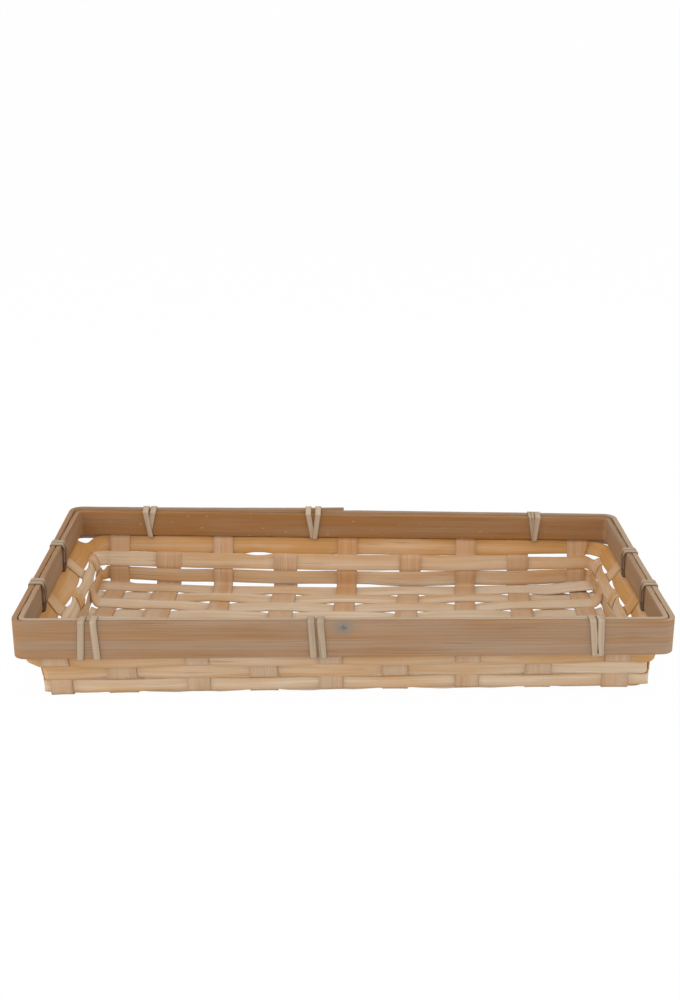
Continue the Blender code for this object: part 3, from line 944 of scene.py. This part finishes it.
def lap_rise(x, y):
    """How far the outer band, towards the outer end of its lap, stands up over the inner one."""
    reach = np.clip((x + HALF_WIDTH) / HALF_WIDTH, 0.0, 1.0)
    rise = rim().back_rise + (rim().lap_rise - rim().back_rise) * reach ** 2
    return rise * smooth_step(y, 0.0, HALF_DEPTH)


def inner_band_inset():
    """How far the outer face of the inner band stands in from the rim's outside."""
    return rim().outer_thickness + rim().slot


def back_rise(y):
    return rim().back_rise * smooth_step(y, 0.0, HALF_DEPTH)


def rim_corner(inset, quarter):
    """One corner of the rim's outline, drawn in by an inset, anticlockwise from the back right."""
    sign_x, sign_y = CORNER_SIGNS[quarter]
    radius = rim().corner - inset
    centre = Vector((sign_x * (HALF_WIDTH - inset - radius),
                     sign_y * (HALF_DEPTH - inset - radius)))
    angles = [(quarter + step / CORNER_STEPS) * pi / 2 for step in range(CORNER_STEPS + 1)]
    return [centre + radius * Vector((cos(turn), sin(turn))) for turn in angles]


def band_tone(x, tone, left_tone, right_tone):
    """A band has another tone at each end of the basket."""
    corner = rim().corner
    beside = float(smooth_step(abs(x), HALF_WIDTH - corner, HALF_WIDTH - corner / 2))
    return tone + ((left_tone if x < 0 else right_tone) - tone) * beside


def outer_lift(surface):
    """The first half of the outer band is the one whose end stands up at the lap."""
    outer_end = (np.arange(len(surface)) < len(surface) // 2)[:, None]
    x, y = surface[..., 0], surface[..., 1]
    return np.where(outer_end, lap_rise(x, y), back_rise(y))


class BASKET_OT_rim_bands(bpy.types.Operator):
    """Bend the outer band, whose pared ends lap at the back, and the inner band"""
    bl_idname = "basket.rim_bands"
    bl_label = "Rim Bands"
    bl_options = {"REGISTER", "UNDO"}

    def execute(self, context):
        sizes = rim()
        thickness = sizes.outer_thickness
        tip = sizes.lap_tip / thickness
        back = HALF_DEPTH - thickness / 2
        lap_start = sizes.lap_end - sizes.lap
        line = [(sizes.lap_end, HALF_DEPTH - sizes.lap_tip / 2, tip), (lap_start, back, 1.0)]
        for quarter in (1, 2, 3, 0):
            line += [(*place, 1.0) for place in rim_corner(thickness / 2, quarter)]
        line += [(sizes.lap_end + LAP_SHIFT, back, 1.0),
                 (lap_start + LAP_SHIFT, HALF_DEPTH - thickness + sizes.lap_tip / 2, tip)]
        line = [(x, y, thick, band_tone(x, *OUTER_TONES)) for x, y, thick in line]
        self.build_band("outer_rim_band", line, OUTER_BAND_BOTTOM, thickness, 60, across=10,
                        lift=outer_lift)

        thickness = sizes.inner_thickness
        line = []
        for quarter in range(4):
            for x, y in rim_corner(inner_band_inset() + thickness / 2, quarter):
                tone = INNER_BACK_TONE if y > HALF_DEPTH / 2 else INNER_TONES[0]
                line.append((x, y, 1.0, band_tone(x, tone, *INNER_TONES[1:])))
        self.build_band("inner_rim_band", line, INNER_BAND_BOTTOM, thickness, 61, across=8,
                        closed=True)
        return {"FINISHED"}

    def build_band(self, node, line, bottom, thickness, seed, **settings):
        """Stands a band upright along a line, from a height up to the top of the rim."""
        sizes = rim()
        half = (0, 0, (HEIGHT - bottom) / 2)
        stations = [station((x, y, (HEIGHT + bottom) / 2), half, thick=thick, tone=tone)
                    for x, y, thick, tone in line]
        build_strip(node, stations, band_wood(), "band_wood", seed, sizes, thickness,
                    drift=sizes.drift, lean=sizes.lean, softness=BAND_SOFTNESS, **settings)


MILLIMETRE = 0.001

# The last three pairs below, as all four lashings of the end walls have them
SIDE_TURNS = ((-1.8, 1.8), (-2.0, 2.0), (-1.6, -1.0))

# Each lashing: its wall, the sense of its winding, and in millimetres how far its two turns lie
# beside its middle, at the top of the rim, under its outside and under its inside
LASHINGS = {
    "lashing_front_left": ("front", 1, (-2.4, 3.0), (-3.6, 4.1), (-0.9, 0.9)),
    "lashing_front_middle": ("front", -1, (-2.2, 2.1), (-1.0, 3.3), (-0.9, 0.9)),
    "lashing_front_right": ("front", 1, (-1.1, 2.7), (0.9, 3.2), (-0.9, 0.9)),
    "lashing_back_left": ("back", -1, (-2.1, 2.1), (-2.0, 2.0), (0.5, -0.4)),
    "lashing_back_middle": ("back", 1, (-2.7, 2.7), (-2.0, 2.0), (-0.7, 0.7)),
    "lashing_back_right": ("back", 1, (-1.8, 1.8), (-2.0, 2.0), (-0.2, 0.3)),
    "lashing_left_front": ("left", 1, *SIDE_TURNS),
    "lashing_left_back": ("left", 1, *SIDE_TURNS),
    "lashing_right_front": ("right", 1, *SIDE_TURNS),
    "lashing_right_back": ("right", 1, *SIDE_TURNS),
}

# How far below the inner band the cane starts and goes through the weave, and how far above the
# band's edge its first place is that lies flat on the rim, in metres
CANE_START = 0.0006
CANE_THROUGH = 0.0009
CANE_FOOT = 0.0020

# How far up the inside of the rim a slack strand bows off it, as shares of the inner band's height
BOW_PARTS = (0.35, 0.75)

# The cane's tone in front, at the back, and as painted shade on its strands inside the end walls
CANE_TONES = {"front": 0.2, "back": 0.0, "shade": 1.1}


def lashing_route(turn, tops, bottoms, feet, bow):
    """The cane's line round the rim: its place along the rim, out from its face, its height and its
    width. It starts inside, goes over the rim and under the outer band, comes up again through the
    weave beside its start and goes over the rim once more."""
    sizes = cane()
    outside = sizes.gap + sizes.thickness / 2
    inside = -inner_band_inset() - rim().inner_thickness - outside
    behind = -rim().outer_thickness - outside
    top = HEIGHT + outside
    under = OUTER_BAND_BOTTOM - outside
    through = INNER_BAND_BOTTOM - CANE_THROUGH
    full, pinched = sizes.width, sizes.pinch * sizes.width
    first, second = (0, 1) if turn > 0 else (1, 0)

    def bowed(strand):
        """Two places on the way up the inside, where a slack strand stands off it."""
        if not bow:
            return []
        places = []
        for part in BOW_PARTS:
            side = feet[strand] + part * (tops[strand] - feet[strand])
            height = INNER_BAND_BOTTOM + part * (HEIGHT - INNER_BAND_BOTTOM)
            places.append((side, inside - bow, height, 0.5 * full))
        return places

    return (
        (feet[first], inside, INNER_BAND_BOTTOM - CANE_START, 0.6 * full),
        (feet[first], inside, INNER_BAND_BOTTOM + CANE_FOOT, (0.55 if bow else 0.85) * full),
        *bowed(first),
        (tops[first], inside, top, full),
        (tops[first], outside, top, full),
        (bottoms[first], outside, under, full),
        (bottoms[first], behind, under, full),
        (feet[second], behind, through, pinched),
        (feet[second], inside - 0.9 * sizes.thickness, through, pinched),
        *bowed(second),
        (tops[second], inside, top, full),
        (tops[second], outside, top, full),
        (bottoms[second], outside, under, full),
        (bottoms[second], -rim().outer_thickness / 2, under, full),
    )


def lashing_lift(surface):
    """Where the outer band stands up at the back, the cane slopes up to it."""
    x, y, z = surface[..., 0], surface[..., 1], surface[..., 2]
    inner_face = HALF_DEPTH - inner_band_inset() - rim().inner_thickness
    slope = smooth_step(y, inner_face, HALF_DEPTH) * smooth_step(z, OUTER_BAND_BOTTOM, HEIGHT)
    return np.where(x < rim().lap_end, lap_rise(x, y), back_rise(y)) * slope


class BASKET_OT_lashings(bpy.types.Operator):
    """Wind the ten cane lashings that bind the bands of the rim"""
    bl_idname = "basket.lashings"
    bl_label = "Cane Lashings"
    bl_options = {"REGISTER", "UNDO"}

    def execute(self, context):
        sizes = cane()
        finish = cane_finish()
        for seed, (name, (wall, turn, *places)) in enumerate(LASHINGS.items()):
            low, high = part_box(name)
            centre = (low + high) / 2
            at_end = wall in ("left", "right")
            outward = Vector((*OUTWARD[wall], 0))
            along = Vector((0, 1, 0)) if at_end else Vector((1, 0, 0))
            reach = HALF_WIDTH if at_end else HALF_DEPTH
            middle = centre.y if at_end else centre.x
            sides = [[MILLIMETRE * side for side in pair] for pair in places]
            stations = []
            for side, out, z, width in lashing_route(turn, *sides, sizes.bow if at_end else 0.0):
                place = (middle + side) * along + (reach + out) * outward + Vector((0, 0, z))
                # Painted shade: inside the end walls, below the top of the rim, the cane takes a
                # deep tone
                light = "shade" if at_end and z < HEIGHT else "back" if wall == "back" else "front"
                stations.append(station(place, width / 2 * along, tone=CANE_TONES[light]))
            build_strip(name, stations, finish, "cane", 70 + seed, sizes, sizes.thickness,
                        lift=lashing_lift)
        return {"FINISHED"}


# Finishes

# How often each pattern turns in a metre, along and across a strip
STREAK_TURNS = (5, 190)
BLOTCH_TURNS = (22, 60)
FIBRE_TURNS = (16, 1500)
PORE_TURNS = (28, 1100)
FLECK_TURNS = (300, 620)

# How strong blotches are beside streaks
BLOTCH_SHARE = 0.6

# How bright pores and the painted shade at the edges are beside a wood's deep colour, flecks
# beside its pale colour, and a stain's core beside the rest of the stain
PORE_AND_SHADE_LIGHT = 0.55
FLECK_LIGHT = 1.4
CORE_LIGHT = 0.3

# The strength of the grain's relief and its depth in metres
GRAIN_RELIEF = {"Strength": 0.35, "Distance": 0.00012}

# What moves the stain's place on the front band to the origin, and how it is stretched
STAIN_PLACE = {"Location": (0.0000, 0.0755, -0.0398), "Scale": (0.75, 1.0, 1.0)}

# The stain's ragged outline, and how its halo and its core fade over their radius in metres
STAIN_NOISE = {"Scale": 900.0, "Detail": 3.0}
STAIN_RAGGED = (0.3, 0.7, -0.0009, 0.0009)
STAIN_HALO = (0.0004, 0.0050, 0.66, 0.0)
STAIN_CORE = (0.0002, 0.0012, 0.6, 0.0)

NODE_PITCH = 200


def add_node(tree, kind, inputs=(), **settings):
    """A new node to the right of the others, with some of its inputs and settings."""
    node = tree.nodes.new(kind)
    node.location.x = NODE_PITCH * len(tree.nodes)
    for setting, value in settings.items():
        setattr(node, setting, value)
    for name, value in dict(inputs).items():
        node.inputs[name].default_value = value
    return node


def feed(tree, socket, value):
    """Links a socket to an output, or gives it a number or a colour."""
    if isinstance(value, bpy.types.NodeSocket):
        tree.links.new(value, socket)
    elif isinstance(value, (int, float)):
        socket.default_value = value
    else:
        socket.default_value = (*value, 1.0)


def grain(tree, source, turns, detail, distortion=0.0):
    """Noise that turns so often in a metre, along and across the strip."""
    mapping = add_node(tree, "ShaderNodeMapping", {"Scale": (*turns, 1.0)})
    texture = add_node(tree, "ShaderNodeTexNoise",
                       {"Scale": 1.0, "Detail": detail, "Distortion": distortion})
    tree.links.new(source, mapping.inputs["Vector"])
    tree.links.new(mapping.outputs["Vector"], texture.inputs["Vector"])
    return texture.outputs["Fac"]


def ramp(tree, source, *stops):
    """Turns values from the first stop to the second into values from the third to the fourth."""
    names = ("From Min", "From Max", "To Min", "To Max")
    node = add_node(tree, "ShaderNodeMapRange", zip(names, stops))
    tree.links.new(source, node.inputs["Value"])
    return node.outputs["Result"]


def combine(tree, operation, first, second):
    node = add_node(tree, "ShaderNodeMath", operation=operation)
    feed(tree, node.inputs[0], first)
    feed(tree, node.inputs[1], second)
    return node.outputs["Value"]


def mix_colours(tree, factor, first, second):
    node = add_node(tree, "ShaderNodeMix", data_type="RGBA")
    for index, value in ((0, factor), (6, first), (7, second)):
        feed(tree, node.inputs[index], value)
    return node.outputs[2]


def build_wood(name, pale, deep, streaks, fibres, fleck=0.0, stain=None, roughness=(0.50, 0.68),
               pale_edge=None, sheen=0.15, edge_shade=0.22):
    """Split wood: broad tone streaks, fine fibres and a few dark pores, all along the strip, with
    painted shade at its edges unless it has a pale edge colour, and on request pale flecks
    and a stain."""
    old = bpy.data.materials.get(name + "_finish")
    if old is not None:
        return old
    material = bpy.data.materials.new(name + "_finish")
    material.use_nodes = True
    tree = material.node_tree
    shader = tree.nodes["Principled BSDF"]
    along = add_node(tree, "ShaderNodeUVMap", uv_map="UVMap").outputs["UV"]
    tone, edge = (add_node(tree, "ShaderNodeAttribute", attribute_name=label).outputs["Fac"]
                  for label in ("tone", "edge"))

    broad = grain(tree, along, STREAK_TURNS, 3.0, distortion=0.3)
    blotch = grain(tree, along, BLOTCH_TURNS, 3.0)
    fine = grain(tree, along, FIBRE_TURNS, 3.0)
    pores = grain(tree, along, PORE_TURNS, 1.0)

    soft = BLOTCH_SHARE * streaks
    wave = combine(tree, "ADD", ramp(tree, broad, 0.25, 0.75, -streaks, streaks),
                   ramp(tree, blotch, 0.25, 0.75, -soft, soft))
    depth = combine(tree, "ADD", tone, wave)
    depth.node.use_clamp = True
    shaded = add_node(tree, "ShaderNodeVectorMath", operation="SCALE")
    tree.links.new(mix_colours(tree, depth, pale, deep), shaded.inputs[0])
    shade = ramp(tree, fine, 0.30, 0.70, 1 - fibres, 1 + 0.5 * fibres)
    tree.links.new(shade, shaded.inputs["Scale"])
    darkness = ramp(tree, pores, 0.66, 0.74, 0.0, 0.45)
    # Painted shade: a strip darkens towards both its edges, in place of the shadows that the strips
    # beside and over it cast
    if pale_edge is None:
        darkness = combine(tree, "MAXIMUM", darkness, ramp(tree, edge, 0.70, 1.0, 0.0, edge_shade))
    dark = [PORE_AND_SHADE_LIGHT * value for value in deep]
    final = mix_colours(tree, darkness, shaded.outputs[0], dark)
    # On the bands, the top and bottom edges take the pale edge colour where the tone is low, and
    # keep their colour on the deep-toned parts
    if pale_edge is not None:
        pale_part = combine(tree, "MULTIPLY", ramp(tree, edge, 0.97, 0.995, 0.0, 1.0),
                            ramp(tree, tone, 0.2, 0.3, 1.0, 0.0))
        final = mix_colours(tree, pale_part, final, pale_edge)
    if fleck:
        spots = ramp(tree, grain(tree, along, FLECK_TURNS, 0.0), 0.77, 0.81, 0.0, fleck)
        spots = combine(tree, "MULTIPLY", spots, ramp(tree, tone, 0.5, 0.8, 0.0, 1.0))
        bright = [min(FLECK_LIGHT * value, 1.0) for value in pale]
        final = mix_colours(tree, spots, final, bright)
    if stain is not None:
        final = add_stain(tree, final, stain)
    tree.links.new(final, shader.inputs["Base Color"])

    tree.links.new(ramp(tree, fine, 0.3, 0.7, *roughness), shader.inputs["Roughness"])
    shader.inputs["Specular IOR Level"].default_value = sheen
    bump = add_node(tree, "ShaderNodeBump", GRAIN_RELIEF)
    tree.links.new(combine(tree, "ADD", fine, broad), bump.inputs["Height"])
    tree.links.new(bump.outputs["Normal"], shader.inputs["Normal"])
    return material


def add_stain(tree, colour_before, stain):
    """A small soft stain with a dark core, at one place of the front band."""
    place = add_node(tree, "ShaderNodeTexCoord").outputs["Object"]
    ragged = add_node(tree, "ShaderNodeTexNoise", STAIN_NOISE)
    mapping = add_node(tree, "ShaderNodeMapping", STAIN_PLACE)
    for node in (ragged, mapping):
        tree.links.new(place, node.inputs["Vector"])
    away = add_node(tree, "ShaderNodeVectorMath", operation="LENGTH")
    tree.links.new(mapping.outputs["Vector"], away.inputs[0])
    uneven = combine(tree, "ADD", away.outputs["Value"],
                     ramp(tree, ragged.outputs["Fac"], *STAIN_RAGGED))
    stained = mix_colours(tree, ramp(tree, uneven, *STAIN_HALO), colour_before, stain)
    core = [CORE_LIGHT * value for value in stain]
    return mix_colours(tree, ramp(tree, uneven, *STAIN_CORE), stained, core)


def colours():
    return bpy.context.scene.basket_colours


def weaver_wood():
    return build_wood("weaver_wood", colours().weaver_pale, colours().weaver_deep, 0.45, 0.12)


def stake_wood():
    return build_wood("stake_wood", colours().stake_pale, colours().stake_deep, 0.35, 0.14)


def band_wood():
    return build_wood("band_wood", colours().band_pale, colours().band_deep, 0.45, 0.17, fleck=0.45,
                      stain=colours().stain, roughness=(0.55, 0.72), pale_edge=colours().band_edge)


def cane_finish():
    # The cane's strong edge shade is painted shade along its edges, which leaves its middle lighter
    return build_wood("cane", colours().cane_pale, colours().cane_deep, 0.30, 0.14,
                      roughness=(0.38, 0.55), sheen=0.25, edge_shade=0.65)


# The studio

# The floor's width and depth, how far back its middle lies and how far below the basket, how high
# its back is turned up and with what radius, in metres
FLOOR_SIZE = (8, 6)
FLOOR_BACK = 0.5
FLOOR_DROP = 0.0002
BACKDROP_HEIGHT = 4
BACKDROP_BEND = 1.2

# The strength of the light from all round, and how white the floor looks to the camera
ROOM_LIGHT = 0.62
FLOOR_WHITE = 0.985

# Each lamp: its name, place, turn in degrees, width and power
LAMPS = (
    ("front_lamp", (-0.35, -1.35, 0.75), (62, 0, -14), 1.0, 9.3),
    ("top_lamp", (0.1, 0.0, 1.4), (0, 4, 0), 1.2, 5.5),
    ("left_lamp", (-1.3, -0.3, 0.40), (74, 0, -77), 0.7, 6.5),
    ("right_lamp", (1.3, -0.3, 0.40), (74, 0, 77), 0.7, 6.5),
)

# The camera as fitted to the photo: how high over the basket it stands and how far down it looks,
# in degrees, its distance from a place over the foot's middle and the height of that place in
# metres, and its focal length in millimetres and sideways shift
CAMERA_ELEVATION = 22.7592
CAMERA_PITCH = 18.5727
CAMERA_DISTANCE = 0.68409
CAMERA_TARGET = 0.0221
CAMERA_LENS = 48.61
CAMERA_SHIFT = -0.0032


def seen_rays(tree):
    """Camera, glossy and transmission rays see the plain white studio."""
    path = add_node(tree, "ShaderNodeLightPath")
    either = combine(tree, "MAXIMUM", path.outputs["Is Camera Ray"], path.outputs["Is Glossy Ray"])
    return combine(tree, "MAXIMUM", either, path.outputs["Is Transmission Ray"])


def show_white(tree, kind, share, usual, output):
    """Mixes a plain white over the usual shader, for the rays that are seen."""
    white = add_node(tree, kind, {"Color": (1, 1, 1, 1), "Strength": 1.0})
    chooser = add_node(tree, "ShaderNodeMixShader")
    tree.links.new(share, chooser.inputs[0])
    tree.links.new(usual.outputs[0], chooser.inputs[1])
    tree.links.new(white.outputs[0], chooser.inputs[2])
    tree.links.new(chooser.outputs[0], tree.nodes[output].inputs["Surface"])


def select_edges(floor, wanted):
    """Leaves the floor in edit mode with the edges selected whose ends are all wanted."""
    bpy.ops.object.mode_set(mode="OBJECT")
    for edge in floor.data.edges:
        edge.select = all(wanted(floor.data.vertices[index].co) for index in edge.vertices)
    bpy.ops.object.mode_set(mode="EDIT")


class BASKET_OT_studio(bpy.types.Operator):
    """Set up the pale floor, the soft lamps and the camera"""
    bl_idname = "basket.studio"
    bl_label = "Studio"
    bl_options = {"REGISTER", "UNDO"}

    def execute(self, context):
        self.add_floor()
        self.light_room(context.scene)
        for lamp in LAMPS:
            self.add_lamp(*lamp)
        self.add_camera(context.scene)
        return {"FINISHED"}

    def add_floor(self):
        select_only()
        bpy.ops.mesh.primitive_plane_add(size=1, location=(0, 0, 0))
        floor = bpy.context.object
        floor.name = "studio_floor"
        back = FLOOR_SIZE[1] / 2
        bpy.ops.object.mode_set(mode="EDIT")
        bpy.ops.transform.resize(value=(*FLOOR_SIZE, 1))
        bpy.ops.transform.translate(value=(0, FLOOR_BACK, -FLOOR_DROP))
        bpy.ops.mesh.select_all(action="DESELECT")
        select_edges(floor, lambda place: place.y > back)
        bpy.ops.mesh.select_mode(type="EDGE")
        bpy.ops.mesh.extrude_region_move(TRANSFORM_OT_translate={"value": (0, 0, BACKDROP_HEIGHT)})
        select_edges(floor, lambda place: place.y > back and place.z < BACKDROP_HEIGHT / 2)
        bpy.ops.mesh.bevel(offset=BACKDROP_BEND, segments=12)
        bpy.ops.mesh.select_all(action="SELECT")
        bpy.ops.mesh.normals_make_consistent(inside=False)
        bpy.ops.object.mode_set(mode="OBJECT")
        bpy.ops.object.shade_smooth()
        floor.data.materials.append(self.floor_finish())

    def floor_finish(self):
        material = bpy.data.materials.new("studio_floor_finish")
        material.use_nodes = True
        tree = material.node_tree
        tree.nodes.remove(tree.nodes["Principled BSDF"])
        matt = add_node(tree, "ShaderNodeBsdfDiffuse", {"Color": (*colours().floor, 1.0)})
        part = combine(tree, "MULTIPLY", seen_rays(tree), FLOOR_WHITE)
        show_white(tree, "ShaderNodeEmission", part, matt, "Material Output")
        return material

    def light_room(self, scene):
        scene.world = bpy.data.worlds.new("studio_light")
        scene.world.use_nodes = True
        tree = scene.world.node_tree
        background = tree.nodes["Background"]
        background.inputs["Color"].default_value = (1, 1, 1, 1)
        background.inputs["Strength"].default_value = ROOM_LIGHT
        show_white(tree, "ShaderNodeBackground", seen_rays(tree), background, "World Output")

    def add_lamp(self, name, place, turn, size, power):
        lamp = bpy.data.lights.new(name, "AREA")
        lamp.shape = "DISK"
        lamp.size = size
        lamp.energy = power
        holder = bpy.data.objects.new(name, lamp)
        holder.location = place
        holder.rotation_euler = [radians(value) for value in turn]
        bpy.context.scene.collection.objects.link(holder)

    def add_camera(self, scene):
        elevation = radians(CAMERA_ELEVATION)
        camera = bpy.data.cameras.new("photo_camera")
        camera.sensor_fit = "AUTO"
        camera.sensor_width = 36.0
        camera.lens = CAMERA_LENS
        camera.shift_x = CAMERA_SHIFT
        holder = bpy.data.objects.new("photo_camera", camera)
        holder.location = (0, -CAMERA_DISTANCE * cos(elevation),
                           CAMERA_TARGET + CAMERA_DISTANCE * sin(elevation))
        holder.rotation_euler = (pi / 2 - radians(CAMERA_PITCH), 0, 0)
        scene.collection.objects.link(holder)
        scene.camera = holder
        scene.view_settings.view_transform = "Standard"


class BASKET_PT_panel(bpy.types.Panel):
    """The basket's pieces and sizes"""
    bl_idname = "BASKET_PT_panel"
    bl_label = "Berry Basket"
    bl_space_type = "VIEW_3D"
    bl_region_type = "UI"
    bl_category = "Basket"

    def draw(self, context):
        for operator in OPERATORS:
            self.layout.operator(operator.bl_idname)
        for name in GROUPS:
            group = getattr(context.scene, name)
            box = self.layout.box()
            for setting in group.bl_rna.properties.keys():
                if setting not in ("rna_type", "name"):
                    box.prop(group, setting)


GROUPS = {
    "basket_splints": SplintSizes,
    "basket_rim": RimSizes,
    "basket_cane": CaneSizes,
    "basket_shape": BasketShape,
    "basket_colours": BasketColours,
}
OPERATORS = (
    BASKET_OT_studio,
    BASKET_OT_rim_bands,
    BASKET_OT_crosswise_splints,
    BASKET_OT_lengthwise_splints,
    BASKET_OT_wall_weavers,
    BASKET_OT_lashings,
)


def register():
    for cls in (*GROUPS.values(), *OPERATORS, BASKET_PT_panel):
        bpy.utils.register_class(cls)
    for name, group in GROUPS.items():
        setattr(bpy.types.Scene, name, bpy.props.PointerProperty(type=group))


def unregister():
    for name in GROUPS:
        delattr(bpy.types.Scene, name)
    for cls in reversed((*GROUPS.values(), *OPERATORS, BASKET_PT_panel)):
        bpy.utils.unregister_class(cls)


def main():
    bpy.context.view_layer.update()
    register()
    bpy.ops.basket.studio()
    bpy.ops.basket.rim_bands()
    bpy.ops.basket.crosswise_splints()
    bpy.ops.basket.lengthwise_splints()
    bpy.ops.basket.wall_weavers()
    bpy.ops.basket.lashings()


if __name__ == "__main__":
    main()
